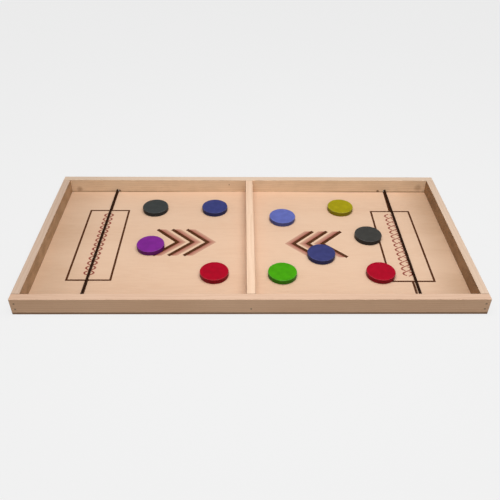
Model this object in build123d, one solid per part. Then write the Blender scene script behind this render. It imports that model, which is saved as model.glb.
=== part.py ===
from build123d import *
import os

# A tabletop sling-puck board: a shallow wooden tray cut in two by a divider
# with a low gate in it, an elastic sling across each end, and ten pucks.
# X runs along the board, Y from front to back, Z up.
# The origin is the middle of the underside.

# Driving dimensions, in millimetres.
BOARD_LENGTH = 610.0
BOARD_WIDTH = 305.0
BOARD_HEIGHT = 25.0
BASE_THICKNESS = 3.0
RAIL_WIDTH = 11.0
CORNER_ROUND = 0.8  # the board's four upright corners
EDGE_ROUND = 0.4  # the rim's top edges

# The gate is a doorway cut up from the divider's underside.
GATE_WIDTH = 50.0
GATE_HEIGHT = 12.0
GATE_CORNER_RADIUS = 3.0

PUCK_DIAMETER = 40.0
PUCK_THICKNESS = 7.0
PUCK_EDGE_ROUND = 0.9
PUCK_LIFT = 0.1  # running clearance over the playing surface

CORD_DIAMETER = 3.6
CORD_LIFT = 0.35  # between the cord's underside and the playing surface
CORD_SLOT_WIDTH = 4.3  # arched slot in the rail's lower edge
KNOT_DIAMETER = 6.8
KNOT_GAP = 0.3  # between a knot and the end of the cord's free run
POCKET_DIAMETER = 8.0  # bored from the underside, hides a knot
POCKET_DEPTH = 10.5

PIN_MARK_DIAMETER = 2.0  # small blind hole beside each sling, in the back rail
PIN_MARK_DEPTH = 1.8
PIN_MARK_HEIGHT = 1.4  # centre above the playing surface
PIN_MARK_X = 215.5

NAIL_SHANK_DIAMETER = 1.4
NAIL_HEAD_DIAMETER = 2.6
NAIL_HEAD_THICKNESS = 0.8
NAIL_POINT_LENGTH = 2.0
NAIL_SINK = 0.2  # heads are driven just under the wood's surface
SIDE_NAIL_LENGTH = 25.0
BASE_NAIL_LENGTH = 16.0
CORNER_NAIL_HEIGHTS = (8.6, 17.5)  # above the table
DIVIDER_NAIL_HEIGHT = 9.0
LONG_RAIL_BASE_NAILS_X = (-285.0, -180.0, -60.0, 60.0, 180.0, 285.0)
END_RAIL_BASE_NAILS_Y = (-100.0, 0.0, 100.0)
DIVIDER_BASE_NAILS_Y = (-115.0, -50.0, 50.0, 115.0)

# Where each sling meets the front and the back rail, along X.
SLING_ENDS_X = {"left_sling": (-223.6, -218.8), "right_sling": (225.4, 227.2)}

# Each puck's centre on the playing surface.
PUCK_CENTRES = {
    "puck_slate": (-149.0, 86.0),
    "puck_blue": (-55.0, 86.0),
    "puck_purple": (-145.0, -14.0),
    "puck_red_left": (-50.0, -77.0),
    "puck_periwinkle": (51.0, 59.0),
    "puck_olive": (145.0, 87.0),
    "puck_charcoal": (177.0, 11.0),
    "puck_navy": (102.0, -35.0),
    "puck_green": (44.0, -78.0),
    "puck_red_right": (180.0, -77.0),
}

# Sizes worked out from the ones above.
RAIL_HEIGHT = BOARD_HEIGHT - BASE_THICKNESS
INSIDE_WIDTH = BOARD_WIDTH - 2 * RAIL_WIDTH
LONG_RAIL_Y = (BOARD_WIDTH - RAIL_WIDTH) / 2
END_RAIL_X = (BOARD_LENGTH - RAIL_WIDTH) / 2
CORD_HEIGHT = BASE_THICKNESS + CORD_LIFT + CORD_DIAMETER / 2
CORD_END_Y = LONG_RAIL_Y - KNOT_DIAMETER / 2 - KNOT_GAP

ALONG_Z = (Align.CENTER, Align.CENTER, Align.MIN)


def rounded_inner_rail(x):
    """A rail between the long rails, with its two long top edges rounded."""
    rail = Pos(x, 0, BASE_THICKNESS) * Box(RAIL_WIDTH, INSIDE_WIDTH, RAIL_HEIGHT, align=ALONG_Z)
    top = rail.faces().sort_by(Axis.Z)[-1]
    return fillet(top.edges().filter_by(Axis.Y), EDGE_ROUND)


def nail(length):
    """One brad, its head's outer face at the origin, pointing along +Z."""
    point_start = length - NAIL_POINT_LENGTH
    head = Cylinder(NAIL_HEAD_DIAMETER / 2, NAIL_HEAD_THICKNESS, align=ALONG_Z)
    shank = Cylinder(NAIL_SHANK_DIAMETER / 2, point_start, align=ALONG_Z)
    point = Cone(NAIL_SHANK_DIAMETER / 2, 0.2, NAIL_POINT_LENGTH, align=ALONG_Z)
    return head + shank + Pos(0, 0, point_start) * point


def nail_hole(length):
    """The nail's own shape, open to the wood's surface over its sunk head."""
    mouth = Cylinder(NAIL_HEAD_DIAMETER / 2, 2 * NAIL_SINK)
    return nail(length) + mouth


def side_nail_place(x, side, height):
    """A nail head's place on the front (side -1) or back (side 1) rail."""
    return Plane((x, side * (BOARD_WIDTH / 2 - NAIL_SINK), height), z_dir=(0, -side, 0))


def nail_groups():
    """Each group of nails: how long they are, and where their heads lie."""
    corners = [
        side_nail_place(x, side, height)
        for x in (-END_RAIL_X, END_RAIL_X)
        for side in (-1, 1)
        for height in CORNER_NAIL_HEIGHTS
    ]
    divider = [side_nail_place(0, side, DIVIDER_NAIL_HEIGHT) for side in (-1, 1)]
    base = [(x, y) for x in LONG_RAIL_BASE_NAILS_X for y in (-LONG_RAIL_Y, LONG_RAIL_Y)]
    base += [(x, y) for x in (-END_RAIL_X, END_RAIL_X) for y in END_RAIL_BASE_NAILS_Y]
    base += [(0, y) for y in DIVIDER_BASE_NAILS_Y]
    return {
        "corner_nails": (SIDE_NAIL_LENGTH, corners),
        "divider_nails": (SIDE_NAIL_LENGTH, divider),
        "base_nails": (BASE_NAIL_LENGTH, [Pos(x, y, NAIL_SINK) for x, y in base]),
    }


def sling_anchors():
    """Each sling's two ends: its name, X there, and the rail's side."""
    return [
        (sling, x, side)
        for sling, ends in SLING_ENDS_X.items()
        for x, side in zip(ends, (-1, 1))
    ]


def knot_pockets():
    """Round pockets bored up from the underside, one for each knot."""
    bore = Cylinder(POCKET_DIAMETER / 2, POCKET_DEPTH, align=ALONG_Z)
    return [Pos(x, side * LONG_RAIL_Y, 0) * bore for _, x, side in sling_anchors()]


def cord_slots():
    """Arched slots in the long rails' lower edges, from the tray to each pocket."""
    run = RAIL_WIDTH / 2
    arch = Rot(90, 0, 0) * Cylinder(CORD_SLOT_WIDTH / 2, run)
    foot = Box(CORD_SLOT_WIDTH, run, CORD_HEIGHT - BASE_THICKNESS)
    slot = Pos(0, 0, CORD_HEIGHT) * arch + Pos(0, 0, (CORD_HEIGHT + BASE_THICKNESS) / 2) * foot
    return [
        Pos(x, side * (LONG_RAIL_Y - run / 2), 0) * slot for _, x, side in sling_anchors()
    ]


def pin_marks():
    """Blind pin holes in the back rail's inner face, just above the floor."""
    height = BASE_THICKNESS + PIN_MARK_HEIGHT
    face = INSIDE_WIDTH / 2 + PIN_MARK_DEPTH / 2
    hole = Rot(90, 0, 0) * Cylinder(PIN_MARK_DIAMETER / 2, PIN_MARK_DEPTH)
    return [Pos(x, face, height) * hole for x in (-PIN_MARK_X, PIN_MARK_X)]


def base_panel(cuts):
    panel = Box(BOARD_LENGTH, BOARD_WIDTH, BASE_THICKNESS, align=ALONG_Z)
    panel = fillet(panel.edges().filter_by(Axis.Z), CORNER_ROUND)
    return panel - cuts


def long_rail(side, cuts):
    """The front (side -1) or back (side 1) rail, the board's full length."""
    rail = Pos(0, side * LONG_RAIL_Y, BASE_THICKNESS) * Box(
        BOARD_LENGTH, RAIL_WIDTH, RAIL_HEIGHT, align=ALONG_Z
    )
    corners = rail.edges().filter_by(Axis.Z).sort_by(Axis.Y)
    rail = fillet(corners[:2] if side < 0 else corners[-2:], CORNER_ROUND)
    rail = fillet(rail.faces().sort_by(Axis.Z)[-1].edges(), EDGE_ROUND)
    return rail - cuts


def end_rail(side, cuts):
    """The left (side -1) or right (side 1) rail, between the long rails."""
    return rounded_inner_rail(side * END_RAIL_X) - cuts


def centre_divider(cuts):
    """The wall between the two halves, with the gate cut up from its underside."""
    gate = Box(2 * RAIL_WIDTH, GATE_WIDTH, GATE_HEIGHT, align=ALONG_Z)
    gate_top = gate.faces().sort_by(Axis.Z)[-1]
    gate = fillet(gate_top.edges().filter_by(Axis.X), GATE_CORNER_RADIUS)
    return rounded_inner_rail(0) - Pos(0, 0, BASE_THICKNESS) * gate - cuts


def sling_cord(front_x, back_x):
    """The elastic's free run, straight across the board from knot to knot."""
    front = Vector(front_x, -CORD_END_Y, CORD_HEIGHT)
    back = Vector(back_x, CORD_END_Y, CORD_HEIGHT)
    length = (back - front).length
    cord = Cylinder(CORD_DIAMETER / 2, length, align=ALONG_Z)
    return Plane(front, z_dir=back - front) * cord


def sling_knots(sling):
    """The two stopper knots that hold a sling, each in its pocket."""
    return [
        Pos(x, side * LONG_RAIL_Y, CORD_HEIGHT) * Sphere(KNOT_DIAMETER / 2)
        for name, x, side in sling_anchors()
        if name == sling
    ]


def puck(x, y):
    disc = Cylinder(PUCK_DIAMETER / 2, PUCK_THICKNESS, align=ALONG_Z)
    disc = fillet(disc.edges().filter_by(GeomType.CIRCLE), PUCK_EDGE_ROUND)
    return Pos(x, y, BASE_THICKNESS + PUCK_LIFT) * disc


def build():
    """Every node's solids, by name."""
    nodes = {}
    nail_holes = []
    for group, (length, places) in nail_groups().items():
        nodes[group] = [place * nail(length) for place in places]
        nail_holes += [place * nail_hole(length) for place in places]
    pockets = knot_pockets()
    long_rail_cuts = nail_holes + pockets + cord_slots()
    nodes["base_panel"] = [base_panel(nail_holes + pockets)]
    nodes["front_rail"] = [long_rail(-1, long_rail_cuts)]
    nodes["back_rail"] = [long_rail(1, long_rail_cuts + pin_marks())]
    nodes["left_rail"] = [end_rail(-1, nail_holes)]
    nodes["right_rail"] = [end_rail(1, nail_holes)]
    nodes["centre_divider"] = [centre_divider(nail_holes)]
    for sling, (front_x, back_x) in SLING_ENDS_X.items():
        nodes[sling + "_cord"] = [sling_cord(front_x, back_x)]
        nodes[sling + "_knots"] = sling_knots(sling)
    for name, (x, y) in PUCK_CENTRES.items():
        nodes[name] = [puck(x, y)]
    return nodes


os.makedirs("parts", exist_ok=True)
for node, solids in build().items():
    shape = Compound(children=solids) if len(solids) > 1 else solids[0]
    shape.label = node
    export_step(shape, f"parts/{node}.step")
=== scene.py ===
import math

import bmesh
import bpy
from mathutils import Matrix, Vector


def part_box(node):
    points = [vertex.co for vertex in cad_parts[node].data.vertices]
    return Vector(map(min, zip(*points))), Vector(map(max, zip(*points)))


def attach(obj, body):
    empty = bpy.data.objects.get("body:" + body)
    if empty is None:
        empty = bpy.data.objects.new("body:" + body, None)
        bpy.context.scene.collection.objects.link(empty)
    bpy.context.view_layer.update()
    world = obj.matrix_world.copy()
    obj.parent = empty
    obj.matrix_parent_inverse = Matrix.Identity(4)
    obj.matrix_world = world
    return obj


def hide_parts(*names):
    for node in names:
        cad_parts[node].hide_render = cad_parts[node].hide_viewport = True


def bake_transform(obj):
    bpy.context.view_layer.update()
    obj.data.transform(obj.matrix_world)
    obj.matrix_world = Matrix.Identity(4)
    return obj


# The looks of a tabletop sling-puck board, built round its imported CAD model.
# X runs along the board, Y from front to back, Z up, from the middle of the underside.
# The board's lengths are millimetres here, and MM turns them into Blender's metres.

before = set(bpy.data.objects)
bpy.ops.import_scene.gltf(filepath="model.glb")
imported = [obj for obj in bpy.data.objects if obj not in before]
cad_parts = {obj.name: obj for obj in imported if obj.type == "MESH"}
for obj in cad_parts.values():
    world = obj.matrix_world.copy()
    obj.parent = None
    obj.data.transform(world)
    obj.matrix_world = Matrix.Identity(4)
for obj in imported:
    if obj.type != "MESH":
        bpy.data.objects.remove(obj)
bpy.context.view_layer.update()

MM = 0.001
X, Y, Z = 0, 1, 2  # the axes, as places in a vector


def box_mm(node):
    """A CAD node's lowest and highest corners, in millimetres."""
    return [[value / MM for value in corner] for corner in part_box(node)]


PANEL_HIGH = box_mm("base_panel")[1]
OUTER_X = PANEL_HIGH[X]
OUTER_Y = PANEL_HIGH[Y]
FLOOR_Z = PANEL_HIGH[Z]
BACK_WALL_Y = box_mm("back_rail")[0][Y]
LEFT_WALL_X = box_mm("left_rail")[1][X]
RIGHT_WALL_X = box_mm("right_rail")[0][X]


# ------------------------------------------------------- tools for materials

WHITE = (1.0, 1.0, 1.0, 1.0)

# Where Blender's Mix node keeps its colour sockets.
MIX_FIRST = 6
MIX_SECOND = 7
MIX_RESULT = 2


def grey(level):
    return (level, level, level, 1.0)


def linear(red, green, blue):
    """A screen colour, 0 to 255 a channel, as the linear colour that shaders take."""
    channels = []
    for value in (red, green, blue):
        share = value / 255
        low = share <= 0.04045
        channels.append(share / 12.92 if low else ((share + 0.055) / 1.055) ** 2.4)
    return (*channels, 1.0)


def toned(colour, shares):
    """A colour whose red, green and blue are each multiplied by a share."""
    return (*[c * share for c, share in zip(colour, shares)], 1.0)


class Surface:
    """One Principled material, with short calls for the nodes that shape its pattern."""

    def __init__(self, name, **constants):
        self.material = bpy.data.materials.new(name)
        self.material.use_nodes = True
        self.tree = self.material.node_tree
        self.shader = self.tree.nodes["Principled BSDF"]
        for key, value in constants.items():
            socket = key.replace("_", " ").title().replace("Ior", "IOR")
            self.shader.inputs[socket].default_value = value
        self.coordinates = self.node("TexCoord")
        scaled = self.node("VectorMath", operation="SCALE")
        self.feed(scaled.inputs[0], self.coordinates.outputs["Object"])
        scaled.inputs["Scale"].default_value = 1 / MM
        self.place = scaled.outputs[0]

    def node(self, kind, **settings):
        made = self.tree.nodes.new("ShaderNode" + kind)
        for key, value in settings.items():
            setattr(made, key, value)
        return made

    def feed(self, socket, value):
        """Links an output to a socket, or sets the socket to a constant."""
        if isinstance(value, bpy.types.NodeSocket):
            self.tree.links.new(value, socket)
        else:
            socket.default_value = value

    def math(self, operation, *values, clamp=False):
        made = self.node("Math", operation=operation, use_clamp=clamp)
        for socket, value in zip(made.inputs, values):
            self.feed(socket, value)
        return made.outputs[0]

    def total(self, *terms):
        """The sum of (weight, value) pairs."""
        result = None
        for weight, value in terms:
            part = self.math("MULTIPLY", value, weight)
            result = part if result is None else self.math("ADD", result, part)
        return result

    def split(self, vector):
        """A vector's X, Y and Z."""
        made = self.node("SeparateXYZ")
        self.feed(made.inputs[0], vector)
        return made.outputs

    def join(self, x, y, z):
        made = self.node("CombineXYZ")
        for socket, value in zip(made.inputs, (x, y, z)):
            self.feed(socket, value)
        return made.outputs[0]

    def away(self, places, centre):
        """How far two of a point's coordinates lie from a centre, in their plane."""
        squares = []
        for place, middle in zip(places, centre):
            off = self.math("SUBTRACT", place, middle)
            squares.append((1.0, self.math("MULTIPLY", off, off)))
        return self.math("SQRT", self.total(*squares))

    def stretched(self, vector, stretch, shift=(0, 0, 0)):
        """The vector times stretch, plus shift: noise of it is drawn out or squeezed."""
        made = self.node("VectorMath", operation="MULTIPLY_ADD")
        self.feed(made.inputs[0], vector)
        made.inputs[1].default_value = stretch
        made.inputs[2].default_value = shift
        return made.outputs[0]

    def noise(self, vector, scale=1.0, detail=2.0, roughness=0.5):
        made = self.node("TexNoise")
        self.feed(made.inputs["Vector"], vector)
        made.inputs["Scale"].default_value = scale
        made.inputs["Detail"].default_value = detail
        made.inputs["Roughness"].default_value = roughness
        return made.outputs["Fac"]

    def waves(self, value, frequency):
        """Sine waves of a value, from -1 to 1."""
        return self.math("SINE", self.math("MULTIPLY", value, frequency))

    def remap(self, value, low, high, to_low=0.0, to_high=1.0):
        """Turns low..high smoothly into to_low..to_high, and holds the ends."""
        made = self.node("MapRange", interpolation_type="SMOOTHSTEP")
        self.feed(made.inputs["Value"], value)
        made.inputs["From Min"].default_value = low
        made.inputs["From Max"].default_value = high
        made.inputs["To Min"].default_value = to_low
        made.inputs["To Max"].default_value = to_high
        return made.outputs["Result"]

    def mix(self, share, first, second, how="MIX"):
        made = self.node("Mix", data_type="RGBA", blend_type=how)
        self.feed(made.inputs[0], share)
        self.feed(made.inputs[MIX_FIRST], first)
        self.feed(made.inputs[MIX_SECOND], second)
        return made.outputs[MIX_RESULT]

    def facing(self, axis):
        """How squarely the surface faces along an axis, either way, from 0 to 1."""
        normal = self.split(self.coordinates.outputs["Normal"])
        return self.math("ABSOLUTE", normal[axis])

    def finish(self, colour, roughness, height, depth):
        """Wires colour, roughness and a relief of that depth, in millimetres."""
        bump = self.node("Bump")
        bump.inputs["Strength"].default_value = 1.0
        bump.inputs["Distance"].default_value = depth * MM
        self.feed(bump.inputs["Height"], height)
        self.feed(self.shader.inputs["Base Color"], colour)
        self.feed(self.shader.inputs["Roughness"], roughness)
        self.feed(self.shader.inputs["Normal"], bump.outputs["Normal"])
        return self.material


# ---------------------------------------------------------------- bare wood

WOOD_GLOSS = 0.35  # specular level

# How noise is stretched into each feature: along the grain, across it and up.
LONG_FIBRES = (0.012, 0.9, 0.9)
SHORT_FIBRES = (0.09, 3.2, 3.2)
PORE_DASHES = (0.16, 4.5, 4.5)
PORE_NOISE = (0.66, 0.76)  # at a pore's rim and in its middle

END_SHADE_STRETCH = (60.0, 190.0)  # along X, from the weakest painted shade to the strongest


def fibres(surface, place, seed):
    """Fine streaks along the wood's grain, from 0 to 1."""
    long = surface.noise(surface.stretched(place, LONG_FIBRES, seed), detail=4.0, roughness=0.6)
    short = surface.noise(surface.stretched(place, SHORT_FIBRES, seed))
    return surface.total((0.6, long), (0.4, short))


def flecks(surface, place, seed):
    """Short dark pores, as thin dashes along the grain, 1 inside a pore."""
    dashes = surface.stretched(place, PORE_DASHES, seed)
    return surface.remap(surface.noise(dashes, detail=1.0, roughness=0.4), *PORE_NOISE)


def by_ends(surface, in_middle, at_ends):
    """A strength for painted shade, growing from the middle of the board towards its two ends.
    """
    x = surface.split(surface.place)[X]
    return surface.remap(surface.math("ABSOLUTE", x), *END_SHADE_STRETCH, in_middle, at_ends)


# -------------------------------------------------------------------- rails

RAIL_DEEP = (0.80, 0.73, 0.66)  # the dark grain's colour, as a share of the pale wood's
END_GRAIN_DEEP = (0.66, 0.56, 0.46)
END_GRAIN_COVER = 0.6
RAIL_ROUGHNESS = 0.32  # at its smoothest
RAIL_RELIEF = 0.05

RING_WIDTH = 2.6
RING_WANDER = 7.0  # how far a growth ring strays from a true circle
WANDER_STRETCH = (0.011, 0.03, 0.03)
LATE_WOOD_RISE = (0.15, 0.9)  # shares of a ring over which it darkens
LATE_WOOD_DROP = (0.94, 1.0)  # and over which it ends
GRAIN_BLOTCHES = (0.006, 0.02, 0.02)
GRAIN_RANGE = (0.25, 1.05)  # the pattern's total at its palest and at its darkest

SIDE_TO_TOP = (0.25, 0.75)  # how squarely a surface looks up, from a side to a top
FLAT_TO_END = (0.6, 0.9)  # how squarely it looks along the grain, at end grain
OUTER_SKIN = (2.0, 1.0)  # from a rail's outer face, where its inner tone gives way

WALL_BLOTCH_AND_SHADE = (0.72, 0.68, 0.62, 1.0)  # what the blotches and the painted shade along the wall's foot leave of the wood's colour
WALL_BLOTCHES = (0.045, 0.045, 0.09)
WALL_BLOTCH_NOISE = (0.38, 0.64)
WALL_FOOT = (0.5, 1.6)  # the painted shade line's reach above the playing surface
SEAM_SHADE = (0.50, 0.44, 0.38, 1.0)  # dirt in the butt joint at a rail's ends
SEAM_REACH = (0.7, 0.2)  # from the end, where the seam starts and is full

# Dark spots on a rail: each spot's centre, its radius and its softness.
STAINS = {
    "back_rail": [
        ((-215.5, 142.0, 4.6), 1.7, 1.0),  # round the left pin hole
        ((215.5, 142.0, 4.6), 1.7, 1.0),  # round the right one
        ((282.0, 141.5, 11.0), 1.5, 7.0),  # a soft dark patch by the right corner
        ((-33.0, 141.5, 16.5), 0.6, 0.8),  # a pin knot
        ((-281.0, 141.5, 8.0), 1.0, 6.0),  # a soft dark patch by the left corner
    ],
}
STAIN_COLOUR = (0.40, 0.31, 0.25, 1.0)
STAIN_STRENGTH = 3.5  # a stain softer than this is also weaker


def stained(surface, colour, spots):
    """The colour, darkened inside round spots."""
    for centre, radius, softness in spots:
        away = surface.node("VectorMath", operation="DISTANCE")
        surface.feed(away.inputs[0], surface.place)
        away.inputs[1].default_value = centre
        inside = surface.remap(away.outputs["Value"], radius, radius + softness, 1.0, 0.0)
        inside = surface.math("MULTIPLY", inside, min(1.0, STAIN_STRENGTH / softness))
        colour = surface.mix(inside, colour, STAIN_COLOUR, "MULTIPLY")
    return colour


def wall_blotches_and_shade(surface, seed, blotching):
    """Blotches on an inner wall, and painted shade along its foot, strongest by the ends."""
    cloud = surface.stretched(surface.place, WALL_BLOTCHES, seed)
    cloud = surface.noise(cloud, detail=3.0, roughness=0.6)
    blotch = surface.remap(cloud, *WALL_BLOTCH_NOISE, 0.0, blotching)
    # painted shade: a dark line along the wall's foot, where it meets the playing surface
    low, high = WALL_FOOT
    z = surface.split(surface.place)[Z]
    foot = surface.remap(z, FLOOR_Z + low, FLOOR_Z + high, 1.0, 0.0)
    foot = surface.math("MULTIPLY", foot, by_ends(surface, in_middle=0.3, at_ends=1.3))
    return surface.math("ADD", blotch, foot, clamp=True)


def growth_rings(surface, place, section, heart, seed):
    """The dark late wood of each growth ring round the pith, from 0 to 1.

    section and heart are the point's and the pith's places, across the rail and up."""
    wander = surface.noise(surface.stretched(place, WANDER_STRETCH, seed))
    radius = surface.away(section, heart)
    radius = surface.total((1.0, radius), (RING_WANDER, wander))
    ring = surface.math("FRACT", surface.math("DIVIDE", radius, RING_WIDTH))
    rise = surface.remap(ring, *LATE_WOOD_RISE)
    drop = surface.remap(ring, *LATE_WOOD_DROP, 1.0, 0.0)
    return surface.math("MULTIPLY", rise, drop)


def rail_wood(rail, top, inner, outer, blotching, along_x, heart, seed):
    """Planed solid wood whose grain runs along X or Y.

    top, inner and outer are its faces' pale tones, the end rails' inner walls far darker than
    the tops. heart is where the tree's pith would lie, across the rail and up."""
    surface = Surface(rail + "_wood", specular_ior_level=WOOD_GLOSS)
    x, y, z = surface.split(surface.place)
    along, across = (x, y) if along_x else (y, x)
    place = surface.join(along, across, z)

    late_wood = growth_rings(surface, place, (across, z), heart, seed)
    fibre = fibres(surface, place, seed)
    pores = flecks(surface, place, seed)
    blotch = surface.noise(surface.stretched(place, GRAIN_BLOTCHES, seed), detail=3.0)
    grain = surface.total((0.17, late_wood), (0.5, fibre), (0.58, blotch), (0.35, pores))
    grain = surface.remap(grain, *GRAIN_RANGE)
    top_colour, inner_colour, outer_colour = [
        surface.mix(grain, linear(*tone), toned(linear(*tone), RAIL_DEEP))
        for tone in (top, inner, outer)
    ]

    # the wall's blotches, and the painted shade along its foot
    blotches_and_shade = wall_blotches_and_shade(surface, seed, blotching)
    inner_colour = surface.mix(blotches_and_shade, inner_colour, WALL_BLOTCH_AND_SHADE, "MULTIPLY")
    edge = OUTER_Y if along_x else OUTER_X
    outside = [edge - depth for depth in OUTER_SKIN]
    outside = surface.remap(surface.math("ABSOLUTE", across), *outside)
    side_colour = surface.mix(outside, inner_colour, outer_colour)
    upright = surface.remap(surface.facing(Z), *SIDE_TO_TOP, 1.0, 0.0)
    colour = surface.mix(upright, top_colour, side_colour)
    if not along_x:
        seam = [BACK_WALL_Y - reach for reach in SEAM_REACH]
        seam = surface.remap(surface.math("ABSOLUTE", y), *seam)
        colour = surface.mix(seam, colour, SEAM_SHADE, "MULTIPLY")
    end_grain = surface.remap(surface.facing(X if along_x else Y), *FLAT_TO_END)
    end_grain = surface.math("MULTIPLY", end_grain, END_GRAIN_COVER)
    colour = surface.mix(end_grain, colour, toned(linear(*outer), END_GRAIN_DEEP))
    colour = stained(surface, colour, STAINS.get(rail, []))

    roughness = surface.total((0.3, fibre), (0.15, late_wood))
    roughness = surface.math("ADD", roughness, RAIL_ROUGHNESS)
    height = surface.total((0.6, fibre), (-0.7, pores), (0.25, late_wood))
    return surface.finish(colour, roughness, height, RAIL_RELIEF)


# --------------------------------------------------------------- base panel

FLOOR_PALE = linear(238, 202, 172)
FLOOR_DARK = linear(220, 176, 142)
FLOOR_SEED = (3.1, 7.7, 1.3)
FLOOR_CLOUDS = (0.004, 0.018, 0.02)
FLOOR_SWIRLS = (0.010, 0.07, 0.05)
SWIRL_BANDS = 42.0
FLOOR_RANGE = (0.28, 1.0)  # the pattern's total at its palest and at its darkest
FLOOR_ROUGHNESS = 0.36
FLOOR_RELIEF = 0.04

FLOOR_END_SHADE = (0.745, 0.715, 0.66, 1.0)  # what the painted shade by the end walls leaves of the wood's colour
LEFT_SHADE_REACH = 85.0  # from the end wall
LEFT_SHADE_STRENGTH = 0.73
RIGHT_SHADE_REACH = 62.0
SHADE_CLOUDS = (0.2, 0.6)  # the noise where the painted shade is thinnest and where it is full
THIN_SHADE = 0.6
# painted shade in the joint at the back wall's foot: what it leaves of the wood's colour
JOINT_SHADE = (0.42, 0.35, 0.28, 1.0)
JOINT_REACH = (2.4, 0.4)  # from the back wall, where its painted shade line starts and is full

PLY_EDGE = linear(126, 90, 62)
PLY_EDGE_PALE = linear(176, 140, 110)
PLY_THICKNESS = 1.0
PLY_STREAKS = (0.05, 0.05, 2.0)
EDGE_TO_TOP = (0.5, 0.8)  # how squarely a surface looks up, from an edge to a top


def end_wall_shade(surface, cloud):
    """Painted shade on the floor by the end walls, patchy, more by the right one."""
    x = surface.split(surface.place)[X]
    left_reach = LEFT_WALL_X + LEFT_SHADE_REACH
    left = surface.remap(x, LEFT_WALL_X, left_reach, LEFT_SHADE_STRENGTH, 0.0)
    right = surface.remap(x, RIGHT_WALL_X - RIGHT_SHADE_REACH, RIGHT_WALL_X)
    ends = surface.math("ADD", left, right)
    uneven = surface.remap(cloud, *SHADE_CLOUDS, THIN_SHADE, 1.0)
    return surface.math("MULTIPLY", ends, uneven)


def back_joint_shade(surface):
    """Painted shade as a dark line in the joint at the foot of the back wall, strongest by the
    ends.
    """
    y = surface.split(surface.place)[Y]
    joint = surface.remap(y, *[BACK_WALL_Y - reach for reach in JOINT_REACH])
    return surface.math("MULTIPLY", joint, by_ends(surface, in_middle=0.25, at_ends=1.0))


def floor_pattern(surface):
    """Colour, fibres and relief of the playing surface's pale rotary-cut veneer."""
    place = surface.place
    cloud = surface.noise(surface.stretched(place, FLOOR_CLOUDS, FLOOR_SEED), detail=3.0)
    swirl = surface.noise(surface.stretched(place, FLOOR_SWIRLS, FLOOR_SEED))
    bands = surface.remap(surface.waves(swirl, SWIRL_BANDS), -1.0, 1.0)
    fibre = fibres(surface, place, FLOOR_SEED)
    pores = flecks(surface, place, FLOOR_SEED)
    grain = surface.total((0.5, cloud), (0.07, bands), (0.34, fibre), (0.25, pores))
    grain = surface.remap(grain, *FLOOR_RANGE)
    colour = surface.mix(grain, FLOOR_PALE, FLOOR_DARK)
    # painted shade by the end walls, made patchy by noise
    colour = surface.mix(end_wall_shade(surface, cloud), colour, FLOOR_END_SHADE, "MULTIPLY")
    # painted shade along the back wall's foot
    colour = surface.mix(back_joint_shade(surface), colour, JOINT_SHADE, "MULTIPLY")
    height = surface.total((0.6, fibre), (-0.6, pores), (0.1, bands))
    return colour, fibre, height


def floor_wood():
    """The base panel: veneer above and below, and plies along its edges."""
    surface = Surface("base_panel_plywood", specular_ior_level=WOOD_GLOSS)
    colour, fibre, height = floor_pattern(surface)
    z = surface.split(surface.place)[Z]
    plies = surface.waves(z, 2 * math.pi / PLY_THICKNESS)
    streak = surface.noise(surface.stretched(surface.place, PLY_STREAKS))
    ply = surface.remap(surface.total((0.35, plies), (0.8, streak)), 0.0, 0.8)
    side_colour = surface.mix(ply, PLY_EDGE, PLY_EDGE_PALE)
    side = surface.remap(surface.facing(Z), *EDGE_TO_TOP, 1.0, 0.0)
    colour = surface.mix(side, colour, side_colour)
    roughness = surface.math("ADD", surface.math("MULTIPLY", fibre, 0.25), FLOOR_ROUGHNESS)
    return surface.finish(colour, roughness, height, FLOOR_RELIEF)


# ------------------------------------------------------- ink, paint and metal

INK_GLOSS = 0.05
INK_GRAIN = 0.55  # how much the grain and the speckle take off a print's cover
INK_SPECKLE = 0.35
INK_ROUGHNESS = 0.42
INK_RELIEF = 0.03

PAINT_GLOSS = 0.09
SIDE_SHADE = (0.48, 0.46, 0.46)  # painted shade on a disc's side, as a share of the top's colour
PAINT_DARK = (0.93, 0.93, 0.93)  # the top coat's patches
PAINT_PALE = (1.1, 1.1, 1.1)
SIDE_TO_FACE = (0.15, 0.75)  # how squarely a surface looks up, from the rim to the top
WORN_AND_LIT_RIM = (1.3, 0.5)  # from the rim inwards, where wear and the painted highlight start and where they are full
LATHE_PITCH = 0.9
SCRATCH_STRETCH = (0.35, 3.5, 1.0)
SCRATCH_NOISE = (0.58, 0.72)
CHIP_NOISE = (0.54, 0.68)
PATCH_NOISE = (0.3, 0.7)
PAINT_ROUGHNESS = 0.26
PAINT_RELIEF = 0.03

STEEL = linear(186, 160, 136)
TARNISH = linear(138, 106, 80)
TARNISH_NOISE = (0.4, 0.65)
STEEL_ROUGHNESS = 0.35
STEEL_RELIEF = 0.05

BRAID_DARK = linear(28, 11, 2)
BRAID_PALE = linear(56, 30, 12)
YARN_STRETCH = (9.0, 2.0, 9.0)
BRAID_ROUGHNESS = 0.55
YARN_DEPTH = 0.08


def ink(name, colour, cover, faded=False):
    """Ink printed on the veneer, thinner where the grain is proud.

    A faded print reads its strength from the mesh's own strength attribute."""
    surface = Surface(name, specular_ior_level=INK_GLOSS)
    wood_colour, fibre, height = floor_pattern(surface)
    speckle = surface.noise(surface.place, scale=2.4, roughness=0.6)
    density = surface.total((-INK_GRAIN, fibre), (-INK_SPECKLE, speckle))
    even_out = (INK_GRAIN + INK_SPECKLE) / 2
    density = surface.math("ADD", density, cover + even_out, clamp=True)
    if faded:
        strength = surface.node("Attribute", attribute_name="strength").outputs["Fac"]
        density = surface.math("MULTIPLY", density, strength)
    colour = surface.mix(density, wood_colour, colour)
    roughness = surface.math("ADD", surface.math("MULTIPLY", fibre, 0.2), INK_ROUGHNESS)
    return surface.finish(colour, roughness, height, INK_RELIEF)


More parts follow.
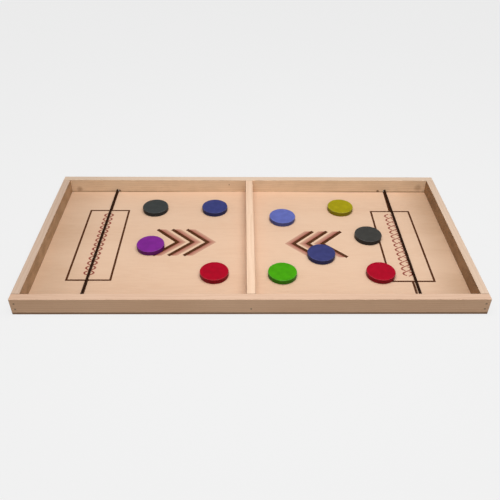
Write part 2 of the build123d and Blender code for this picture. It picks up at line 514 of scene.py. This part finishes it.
def puck_paint(name, colour, worn):
    """Satin paint on a turned wooden disc: faint lathe rings, worn edges, painted shade and
    highlight.
    """
    low, high = box_mm(name)
    centre = [(a + b) / 2 for a, b in zip(low, high)]
    rim = (high[X] - low[X]) / 2
    surface = Surface(name + "_paint", specular_ior_level=PAINT_GLOSS)
    x, y = surface.split(surface.place)[:2]
    radius = surface.away((x, y), centre)
    rings = surface.waves(radius, 2 * math.pi / LATHE_PITCH)
    peel = surface.noise(surface.place, scale=0.9, detail=3.0, roughness=0.6)
    scratch = surface.stretched(surface.place, SCRATCH_STRETCH)
    scratch = surface.noise(scratch, detail=3.0, roughness=0.7)
    scratch = surface.remap(scratch, *SCRATCH_NOISE)

    flat = surface.remap(surface.facing(Z), *SIDE_TO_FACE)
    edge = surface.remap(radius, *[rim - reach for reach in WORN_AND_LIT_RIM])
    edge = surface.math("MULTIPLY", edge, flat)
    chips = surface.noise(surface.place, scale=0.8, detail=4.0, roughness=0.7)
    wear = surface.math("MULTIPLY", edge, surface.remap(chips, *CHIP_NOISE))

    patch = surface.noise(surface.place, scale=0.12, detail=3.0)
    patch = surface.remap(patch, *PATCH_NOISE)
    base = surface.mix(patch, toned(colour, PAINT_DARK), toned(colour, PAINT_PALE))
    # painted shade: the side darker than the top
    base = surface.mix(flat, toned(colour, SIDE_SHADE), base)
    # worn paint, scratches, and a faint painted highlight round the top's edge
    wear_and_highlight = surface.total((0.3, wear), (0.008, scratch), (0.05, edge))
    base = surface.mix(wear_and_highlight, base, worn)
    roughness = surface.total((0.22, peel), (0.14, scratch), (0.2, wear))
    roughness = surface.math("ADD", roughness, PAINT_ROUGHNESS)
    height = surface.total((0.12, rings), (0.5, peel), (-0.35, scratch), (-0.4, wear))
    return surface.finish(base, roughness, height, PAINT_RELIEF)


def nail_steel():
    """Dull brads, browned in patches."""
    surface = Surface("brad_steel", metallic=0.45)
    tarnish = surface.noise(surface.place, scale=1.4, detail=4.0, roughness=0.65)
    tarnish = surface.remap(tarnish, *TARNISH_NOISE)
    colour = surface.mix(tarnish, STEEL, TARNISH)
    roughness = surface.math("ADD", surface.math("MULTIPLY", tarnish, 0.3), STEEL_ROUGHNESS)
    dents = surface.noise(surface.place, scale=2.5, detail=3.0, roughness=0.6)
    return surface.finish(colour, roughness, dents, STEEL_RELIEF)


def braid():
    """Black braided elastic: fine yarns over the braid's own relief."""
    surface = Surface("black_elastic", specular_ior_level=0.1)
    yarn = surface.noise(surface.stretched(surface.place, YARN_STRETCH), roughness=0.6)
    fuzz = surface.noise(surface.place, scale=4.0, detail=3.0, roughness=0.7)
    colour = surface.mix(surface.total((0.6, yarn), (0.4, fuzz)), BRAID_DARK, BRAID_PALE)
    roughness = surface.math("ADD", surface.math("MULTIPLY", fuzz, 0.3), BRAID_ROUGHNESS)
    return surface.finish(colour, roughness, yarn, YARN_DEPTH)


# ------------------------------------------------------------------- meshes


def mesh_object(name, vertices, faces, material, smooth=False):
    """A piece from vertices in millimetres."""
    mesh = bpy.data.meshes.new(name)
    mesh.from_pydata([[value * MM for value in v] for v in vertices], [], faces)
    mesh.update()
    edit = bmesh.new()
    edit.from_mesh(mesh)
    bmesh.ops.recalc_face_normals(edit, faces=edit.faces)
    edit.to_mesh(mesh)
    edit.free()
    for polygon in mesh.polygons:
        polygon.use_smooth = smooth
    mesh.materials.append(material)
    piece = bpy.data.objects.new(name, mesh)
    bpy.context.scene.collection.objects.link(piece)
    return piece


# --------------------------------------------------------- the printed floor

INK_TOP = 0.03  # how far the ink stands above the veneer
INK_DEPTH = 0.05  # how far it soaks in
LINE = 3.0
SLING_LINE_WIDTH = 3.2
DARK_INK = linear(78, 36, 6)
RED_INK = linear(146, 44, 36)
PINK_INK = linear(156, 66, 60)

# Each half's rectangle: front left, front right, back right, back left corners.
FIELD_FRAMES = {
    "left": ((-252.6, -89.7), (-189.7, -89.7), (-189.7, 85.4), (-252.6, 85.4)),
    "right": ((190.8, -92.5), (253.4, -92.5), (255.4, 83.4), (192.4, 83.4)),
}
# The thicker line beside each sling, from the front wall to the rectangle, and from there
# to the back wall.
SLING_LINES = {
    "left": [((-222.9, -141.5), (-222.7, -89.7)), ((-219.4, 85.4), (-218.4, 141.5))],
    "right": [((221.2, -141.5), (221.9, -92.5)), ((224.1, 83.4), (226.0, 141.5))],
}

# Three arrow strokes in each half: the x of their points, their shared y, which way they
# point along X, and their arms' reach to the back and to the front.
ARROWS = {
    "left": {"tips": (-106.6, -84.4, -62.2), "y": -0.8, "point": 1, "back": 32.5, "front": 32.6},
    "right": {"tips": (63.9, 85.1, 106.5), "y": -4.5, "point": -1, "back": 31.3, "front": 32.7},
}
ARROW_STROKE = (-4.4, 3.0)  # from the point's centre, along X
ARROW_TINT = (3.0, 12.2)
TINT_STRENGTHS = [1.0, 0.42, 0.42, 1.0]  # it fades away from the dark stroke

# A twist of two printed strands stands where the board carries lettering. Its middle runs
# between the two x and the two y.
TWISTS = {
    "left": {"x": (-223.4, -220.8), "y": (-78.0, 76.0)},
    "right": {"x": (219.0, 220.4), "y": (-80.0, 74.0)},
}
TWIST_HALF_WIDTH = 6.6
TWIST_PITCH = 22.0
TWIST_STEPS = 18  # in half a turn
TWIST_THIN = 1.5
TWIST_THICK = 2.6
TWIST_GAP = 0.1  # share of a half turn left open, each way, where a strand goes under


def printed(name, shapes, material, strengths=None):
    """Flat printed shapes on the playing surface, one thin slab for each outline."""
    vertices = []
    faces = []
    values = []
    for index, outline in enumerate(shapes):
        start = len(vertices)
        count = len(outline)
        for z in (FLOOR_Z - INK_DEPTH, FLOOR_Z + INK_TOP):
            vertices += [(x, y, z) for x, y in outline]
            values += strengths[index] if strengths else [1.0] * count
        faces.append([start + i for i in reversed(range(count))])
        faces.append([start + count + i for i in range(count)])
        for i in range(count):
            j = (i + 1) % count
            faces.append([start + i, start + j, start + count + j, start + count + i])
    piece = mesh_object(name, vertices, faces, material)
    if strengths:
        attribute = piece.data.attributes.new("strength", "FLOAT", "POINT")
        attribute.data.foreach_set("value", values)
    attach(piece, "board")


def bar(start, end, width):
    """The outline of a straight printed line, its ends level in Y."""
    half = width / 2
    (x0, y0), (x1, y1) = start, end
    return [(x0 - half, y0), (x0 + half, y0), (x1 + half, y1), (x1 - half, y1)]


def frame_bars(front_left, front_right, back_right, back_left, width):
    """A printed rectangle as four mitred bars, from its outer corners."""
    outer = [front_left, front_right, back_right, back_left]
    signs = [(1, 1), (-1, 1), (-1, -1), (1, -1)]
    inner = [(x + sx * width, y + sy * width) for (x, y), (sx, sy) in zip(outer, signs)]
    return [
        [outer[i], outer[(i + 1) % 4], inner[(i + 1) % 4], inner[i]]
        for i in range(4)
    ]


def chevron(tip, point, reach_back, reach_front, near, far, square_ends=False):
    """The two arms of a 45-degree arrow stroke, between two offsets along X.

    tip is the point's x and y, and point is 1 where it points to +X. The arms' ends are
    cut level in Y, or square across the arm."""
    x, y = tip
    cut = (far - near) / 4 if square_ends else 0.0
    arms = []
    for back, reach in ((1, reach_back), (-1, reach_front)):
        arms.append([
            (x + point * near, y),
            (x + point * far, y),
            (x + point * (far - reach - cut), y + back * (reach + cut)),
            (x + point * (near - reach + cut), y + back * (reach - cut)),
        ])
    return arms


def print_half(side, dark, pink):
    """One half's rectangle, sling lines and arrows."""
    lines = frame_bars(*FIELD_FRAMES[side], LINE)
    lines += [bar(start, end, SLING_LINE_WIDTH) for start, end in SLING_LINES[side]]
    printed(side + "_field_print", lines, dark)
    arrows = ARROWS[side]
    strokes = []
    tints = []
    strengths = []
    for x in arrows["tips"]:
        shape = ((x, arrows["y"]), arrows["point"], arrows["back"], arrows["front"])
        strokes += chevron(*shape, *ARROW_STROKE, square_ends=True)
        tints += chevron(*shape, *ARROW_TINT)
        strengths += [TINT_STRENGTHS] * 2
    printed(side + "_arrow_print", strokes, dark)
    printed(side + "_arrow_tint", tints, pink, strengths)


def strand_points(side, turns, strand):
    """One strand's points: x, y, half its thickness there, and its phase."""
    (x_near, x_far), (y_near, y_far) = TWISTS[side]["x"], TWISTS[side]["y"]
    steps = turns * TWIST_STEPS * 2
    points = []
    for i in range(steps + 1):
        share = i / steps
        phase = share * turns * 2 * math.pi + strand * math.pi
        x = x_near + share * (x_far - x_near) + TWIST_HALF_WIDTH * math.sin(phase)
        y = y_near + share * (y_far - y_near)
        thick = TWIST_THIN + (TWIST_THICK - TWIST_THIN) * math.sin(phase) ** 2
        points.append((x, y, thick / 2, phase))
    return points


def goes_under(phase):
    """Whether a strand is hidden by the other one, near every second crossing."""
    crossing = round(phase[0] / math.pi)
    near = abs(sum(phase) / 2 / math.pi - crossing)
    return crossing % 2 == 1 and near < TWIST_GAP


def twist_band(side, red):
    """Two strands twisted together, one short quad for each step."""
    near, far = TWISTS[side]["y"]
    turns = round((far - near) / TWIST_PITCH)
    shapes = []
    for strand in (0, 1):
        points = strand_points(side, turns, strand)
        for (x0, y0, half0, phase0), (x1, y1, half1, phase1) in zip(points, points[1:]):
            if goes_under((phase0, phase1)):
                continue
            run = Vector((x1 - x0, y1 - y0)).normalized()
            side_x, side_y = -run.y, run.x
            shapes.append([
                (x0 - side_x * half0, y0 - side_y * half0),
                (x1 - side_x * half1, y1 - side_y * half1),
                (x1 + side_x * half1, y1 + side_y * half1),
                (x0 + side_x * half0, y0 + side_y * half0),
            ])
    printed(side + "_twist_print", shapes, red)


# ------------------------------------------------------------------- slings

BRAID_STRANDS = 6  # yarns round the cord, each way
BRAID_PITCH = 1.7  # along the cord, from yarn to yarn
BRAID_RELIEF = 0.22
YARN_DIP = 0.25  # how much lower a yarn is where it goes under the next one
CORD_SEGMENTS = 24
CORD_STEP = 0.42

KNOT_CORD = 1.9  # drawn tight, so thinner than the cord
KNOT_STEPS = 96
KNOT_SEGMENTS = 14
KNOT_LIFT = 1.1  # how far the loops rise over each other, in the knot's own units
TAIL_START = (0.9, 0.8, -0.3)  # from the knot's centre, its Y away from the board's middle
TAIL_STEPS = (0.0, 0.6, 1.2, 1.9)
KNOT_FOOT = 0.4  # a height above the underside, as a share of a knot's radius
TAIL_STEPS_DOWN = 3.4  # as many steps as make up the drop from a knot's centre to its foot
ANY_DIRECTION = (0.3, 0.1, 1.0)  # one that no tube starts along


def braid_height(turn, along):
    """Height of a two-way braid, 0 to 1, at a share of a turn and a place along."""
    first = turn * BRAID_STRANDS + along / BRAID_PITCH
    second = turn * BRAID_STRANDS - along / BRAID_PITCH
    over = (math.floor(first) + math.floor(second)) % 2 == 0
    across = (first if over else second) % 1.0
    length = (second if over else first) % 1.0
    round_yarn = math.sqrt(max(0.0, 1 - (2 * across - 1) ** 2))
    return round_yarn * (1 - YARN_DIP + YARN_DIP * math.sin(math.pi * length))


def sling_half(sling, side, material):
    """Half of a sling, from its knot's pocket to the board's middle line.

    side is 1 for the back half and -1 for the front one."""
    low, high = box_mm(sling + "_cord")
    radius = (high[Z] - low[Z]) / 2
    height = (high[Z] + low[Z]) / 2
    knots_low, knots_high = box_mm(sling + "_knots")
    end_y = high[Y] if side > 0 else low[Y]
    knot = (knots_high[Z] - knots_low[Z]) / 2
    front_x = knots_low[X] + knot
    back_x = knots_high[X] - knot
    knot_y = knots_high[Y] - knot
    end_x = back_x if side > 0 else front_x
    middle_x = (front_x + back_x) / 2
    start = Vector((end_x + (middle_x - end_x) * (1 - abs(end_y) / knot_y), end_y, height))
    middle = Vector((middle_x, 0, height))
    length = (middle - start).length
    rows = round(length / CORD_STEP)
    along = (middle - start).normalized()
    sideways = along.cross(Vector((0, 0, 1))).normalized()
    up = sideways.cross(along)
    vertices = []
    for row in range(rows + 1):
        centre = start.lerp(middle, row / rows)
        for step in range(CORD_SEGMENTS):
            turn = step / CORD_SEGMENTS
            relief = braid_height(turn, side * centre.y)
            here = radius - BRAID_RELIEF * (1 - relief)
            angle = turn * 2 * math.pi
            spoke = sideways * math.cos(angle) * side + up * math.sin(angle)
            vertices.append(centre + spoke * here)
    faces = []
    for row in range(rows):
        for step in range(CORD_SEGMENTS):
            a = row * CORD_SEGMENTS + step
            b = row * CORD_SEGMENTS + (step + 1) % CORD_SEGMENTS
            faces.append([a, b, b + CORD_SEGMENTS, a + CORD_SEGMENTS])
    faces.append(list(range(CORD_SEGMENTS)))
    faces.append([rows * CORD_SEGMENTS + step for step in range(CORD_SEGMENTS)])
    which = "back" if side > 0 else "front"
    piece = mesh_object(f"{sling}_{which}_half", vertices, faces, material, smooth=True)
    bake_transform(piece)
    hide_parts(sling + "_cord")


def tube(points, radius, closed):
    """Vertices and faces of a round tube along a list of points."""
    vertices = []
    faces = []
    count = len(points)
    normal = Vector(ANY_DIRECTION)
    for i, point in enumerate(points):
        ahead = points[(i + 1) % count] if closed or i < count - 1 else point
        behind = points[i - 1] if closed or i > 0 else point
        along = (ahead - behind).normalized()
        normal = (normal - along * normal.dot(along)).normalized()
        side = along.cross(normal)
        for step in range(KNOT_SEGMENTS):
            angle = step / KNOT_SEGMENTS * 2 * math.pi
            spoke = normal * math.cos(angle) + side * math.sin(angle)
            vertices.append(point + spoke * radius)
    rings = count if closed else count - 1
    for i in range(rings):
        for step in range(KNOT_SEGMENTS):
            a = i * KNOT_SEGMENTS + step
            b = i * KNOT_SEGMENTS + (step + 1) % KNOT_SEGMENTS
            c = ((i + 1) % count) * KNOT_SEGMENTS + (step + 1) % KNOT_SEGMENTS
            d = ((i + 1) % count) * KNOT_SEGMENTS + step
            faces.append([a, b, c, d])
    if not closed:
        faces.append(list(range(KNOT_SEGMENTS)))
        faces.append([(count - 1) * KNOT_SEGMENTS + step for step in range(KNOT_SEGMENTS)])
    return vertices, faces


def trefoil(centre, size):
    """The closed path of a trefoil, which is an overhand knot with its ends joined."""
    points = []
    for i in range(KNOT_STEPS):
        turn = i / KNOT_STEPS * 2 * math.pi
        points.append(centre + size * Vector((
            math.sin(turn) + 2 * math.sin(2 * turn),
            math.cos(turn) - 2 * math.cos(2 * turn),
            -KNOT_LIFT * math.sin(3 * turn),
        )))
    return points


def tail(centre, side, drop):
    """The path of a knot's cut end, which hangs straight down."""
    x, y, z = TAIL_START
    return [
        centre + Vector((x, side * y, z - step * drop / TAIL_STEPS_DOWN))
        for step in TAIL_STEPS
    ]


def overhand_knots(sling, material):
    """The two knots that hold a sling, each drawn tight in its pocket."""
    low, high = box_mm(sling + "_knots")
    reach = (high[Z] - low[Z]) / 2
    height = (high[Z] + low[Z]) / 2
    size = (reach - KNOT_CORD / 2) / 3
    drop = height - reach * KNOT_FOOT
    vertices = []
    faces = []
    for side, x in ((-1, low[X] + reach), (1, high[X] - reach)):
        y = high[Y] - reach if side > 0 else low[Y] + reach
        centre = Vector((x, y, height))
        loop = trefoil(centre, size)
        end = tail(centre, side, drop)
        for path, closed in ((loop, True), (end, False)):
            more, skin = tube(path, KNOT_CORD / 2, closed)
            faces += [[index + len(vertices) for index in face] for face in skin]
            vertices += more
    piece = mesh_object(sling + "_overhand_knots", vertices, faces, material, smooth=True)
    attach(piece, "board")
    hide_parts(sling + "_knots")


# ------------------------------------------------------- dressing the pieces

# Each rail's pale tones, how blotchy its inner face is, its pith's place, and a shift of
# its pattern. rail_wood says what each one does.
RAILS = {
    "front_rail": {
        "top": (238, 203, 177), "inner": (236, 196, 162), "outer": (240, 199, 164),
        "blotching": 0.2, "along_x": True, "heart": (-112.0, -38.0), "seed": (0.0, 2.0, 5.0),
    },
    "back_rail": {
        "top": (241, 216, 193), "inner": (238, 210, 178), "outer": (238, 202, 170),
        "blotching": 0.2, "along_x": True, "heart": (186.0, -30.0), "seed": (31.0, 4.0, 9.0),
    },
    "left_rail": {
        "top": (226, 199, 178), "inner": (189, 156, 122), "outer": (234, 200, 170),
        "blotching": 0.75, "along_x": False, "heart": (-262.0, -44.0), "seed": (12.0, 8.0, 3.0),
    },
    "right_rail": {
        "top": (240, 213, 190), "inner": (163, 126, 90), "outer": (236, 200, 168),
        "blotching": 0.9, "along_x": False, "heart": (338.0, -35.0), "seed": (57.0, 1.0, 7.0),
    },
    "centre_divider": {
        "top": (254, 220, 191), "inner": (230, 194, 162), "outer": (230, 194, 162),
        "blotching": 0.25, "along_x": False, "heart": (28.0, -48.0), "seed": (75.0, 6.0, 2.0),
    },
}

WORN_COLOUR = 0.55  # what worn paint, and the painted highlight round a puck's top, keep of its colour
WORN_WOOD = 0.35  # and how much paler it is for the wood below

# Each puck's paint, as a screen colour.
PAINTS = {
    "puck_slate": (61, 65, 64),
    "puck_blue": (58, 64, 121),
    "puck_purple": (126, 39, 141),
    "puck_red_left": (170, 4, 35),
    "puck_periwinkle": (98, 108, 180),
    "puck_olive": (165, 153, 15),
    "puck_charcoal": (64, 63, 60),
    "puck_navy": (60, 63, 115),
    "puck_green": (70, 160, 11),
    "puck_red_right": (172, 6, 37),
}


def dress(node, material):
    """Gives a CAD node its material."""
    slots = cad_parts[node].data.materials
    slots.clear()
    slots.append(material)


def dress_all():
    for rail, settings in RAILS.items():
        dress(rail, rail_wood(rail, **settings))
    dress("base_panel", floor_wood())
    steel = nail_steel()
    for group in ("corner_nails", "divider_nails", "base_nails"):
        dress(group, steel)
    for name, shade in PAINTS.items():
        colour = linear(*shade)
        worn = (*[WORN_COLOUR * c + WORN_WOOD for c in colour[:3]], 1.0)
        dress(name, puck_paint(name, colour, worn))


def build_pieces():
    dark = ink("dark_ink", DARK_INK, 0.98)
    pink = ink("pink_ink", PINK_INK, 0.85, faded=True)
    red = ink("red_ink", RED_INK, 0.9)
    for side in ("left", "right"):
        print_half(side, dark, pink)
        twist_band(side, red)
    elastic = braid()
    for sling in ("left_sling", "right_sling"):
        for side in (-1, 1):
            sling_half(sling, side, elastic)
        overhand_knots(sling, elastic)


# --------------------------------------------------------------- the studio

STAGE_SIZE = 24.0  # metres
STAGE_GLOW = 0.807  # what the camera sees of the floor, before the softboxes' light
STAGE_SHADE = 0.08  # how much of their light it sends on to the camera
STAGE_GREYS = (grey(0.29), grey(0.31))  # its colour to every other ray
SKY_HORIZON = 0.26  # light strengths, level and straight up
SKY_ZENITH = 0.24
SKY_SEEN = 0.845

# Each softbox's place and size in metres, and its power in watts. All face the board.
SOFTBOXES = {
    "top_softbox": ((0.06, -0.11, 0.86), (0.8, 0.6), 6.4),
    "front_softbox": ((0.05, -1.6, 0.72), (1.4, 0.7), 5.2),
}

# The camera's place in metres, its turns in degrees, and its lens in millimetres.
CAMERA_PLACE = (-0.0122, -0.7137, 0.52825)
CAMERA_YAW = -1.0
CAMERA_DOWN = 37.13
CAMERA_ROLL = 0.63
LENS = 42.98
SENSOR = 36.0
CAMERA_CLIP = (0.01, 100.0)  # metres


def studio_floor():
    """A floor that glows pale to the camera alone, and is plain grey to all other light."""
    half = STAGE_SIZE / 2 / MM
    surface = Surface("studio_floor", specular_ior_level=0.0)
    grain = surface.noise(surface.place, scale=0.02)
    seen = surface.node("LightPath").outputs["Is Camera Ray"]
    colour = surface.mix(seen, surface.mix(grain, *STAGE_GREYS), grey(STAGE_SHADE))
    roughness = surface.math("ADD", surface.math("MULTIPLY", grain, 0.1), 0.8)
    material = surface.finish(colour, roughness, grain, depth=0.01)
    surface.shader.inputs["Emission Color"].default_value = WHITE
    glow = surface.math("MULTIPLY", seen, STAGE_GLOW)
    surface.feed(surface.shader.inputs["Emission Strength"], glow)
    corners = [(-half, -half, 0), (half, -half, 0), (half, half, 0), (-half, half, 0)]
    floor = mesh_object("studio_floor", corners, [[0, 1, 2, 3]], material)


def sky():
    """Weak and nearly even light from all round, and a pale backdrop to the camera."""
    world = bpy.data.worlds.new("studio")
    bpy.context.scene.world = world
    world.use_nodes = True
    nodes = world.node_tree.nodes
    links = world.node_tree.links
    direction = nodes.new("ShaderNodeTexCoord")
    parts = nodes.new("ShaderNodeSeparateXYZ")
    links.new(direction.outputs["Generated"], parts.inputs[0])
    rise = nodes.new("ShaderNodeMapRange")
    links.new(parts.outputs["Z"], rise.inputs["Value"])
    rise.inputs["To Min"].default_value = SKY_HORIZON
    rise.inputs["To Max"].default_value = SKY_ZENITH
    light = nodes["Background"]
    light.inputs["Color"].default_value = WHITE
    links.new(rise.outputs["Result"], light.inputs["Strength"])
    seen = nodes.new("ShaderNodeBackground")
    seen.inputs["Color"].default_value = grey(SKY_SEEN)
    path = nodes.new("ShaderNodeLightPath")
    either = nodes.new("ShaderNodeMixShader")
    links.new(path.outputs["Is Camera Ray"], either.inputs[0])
    links.new(light.outputs[0], either.inputs[1])
    links.new(seen.outputs[0], either.inputs[2])
    links.new(either.outputs[0], nodes["World Output"].inputs[0])


def softboxes():
    for name, (place, size, power) in SOFTBOXES.items():
        light = bpy.data.lights.new(name, "AREA")
        light.shape = "RECTANGLE"
        light.size, light.size_y = size
        light.energy = power
        lamp = bpy.data.objects.new(name, light)
        lamp.location = place
        lamp.rotation_mode = "QUATERNION"
        lamp.rotation_quaternion = Vector(place).to_track_quat("Z", "Y")
        lamp.visible_camera = False
        bpy.context.scene.collection.objects.link(lamp)


def camera():
    data = bpy.data.cameras.new("camera")
    data.sensor_width = SENSOR
    data.lens = LENS
    data.clip_start, data.clip_end = CAMERA_CLIP
    viewer = bpy.data.objects.new("camera", data)
    turn = Matrix.Rotation(math.radians(CAMERA_YAW), 4, "Z")
    tilt = Matrix.Rotation(math.radians(90 - CAMERA_DOWN), 4, "X")
    roll = Matrix.Rotation(math.radians(CAMERA_ROLL), 4, "Z")
    viewer.matrix_world = Matrix.Translation(CAMERA_PLACE) @ turn @ tilt @ roll
    bpy.context.scene.collection.objects.link(viewer)
    bpy.context.scene.camera = viewer


dress_all()
build_pieces()
studio_floor()
sky()
softboxes()
camera()
bpy.context.scene.view_settings.view_transform = "Standard"
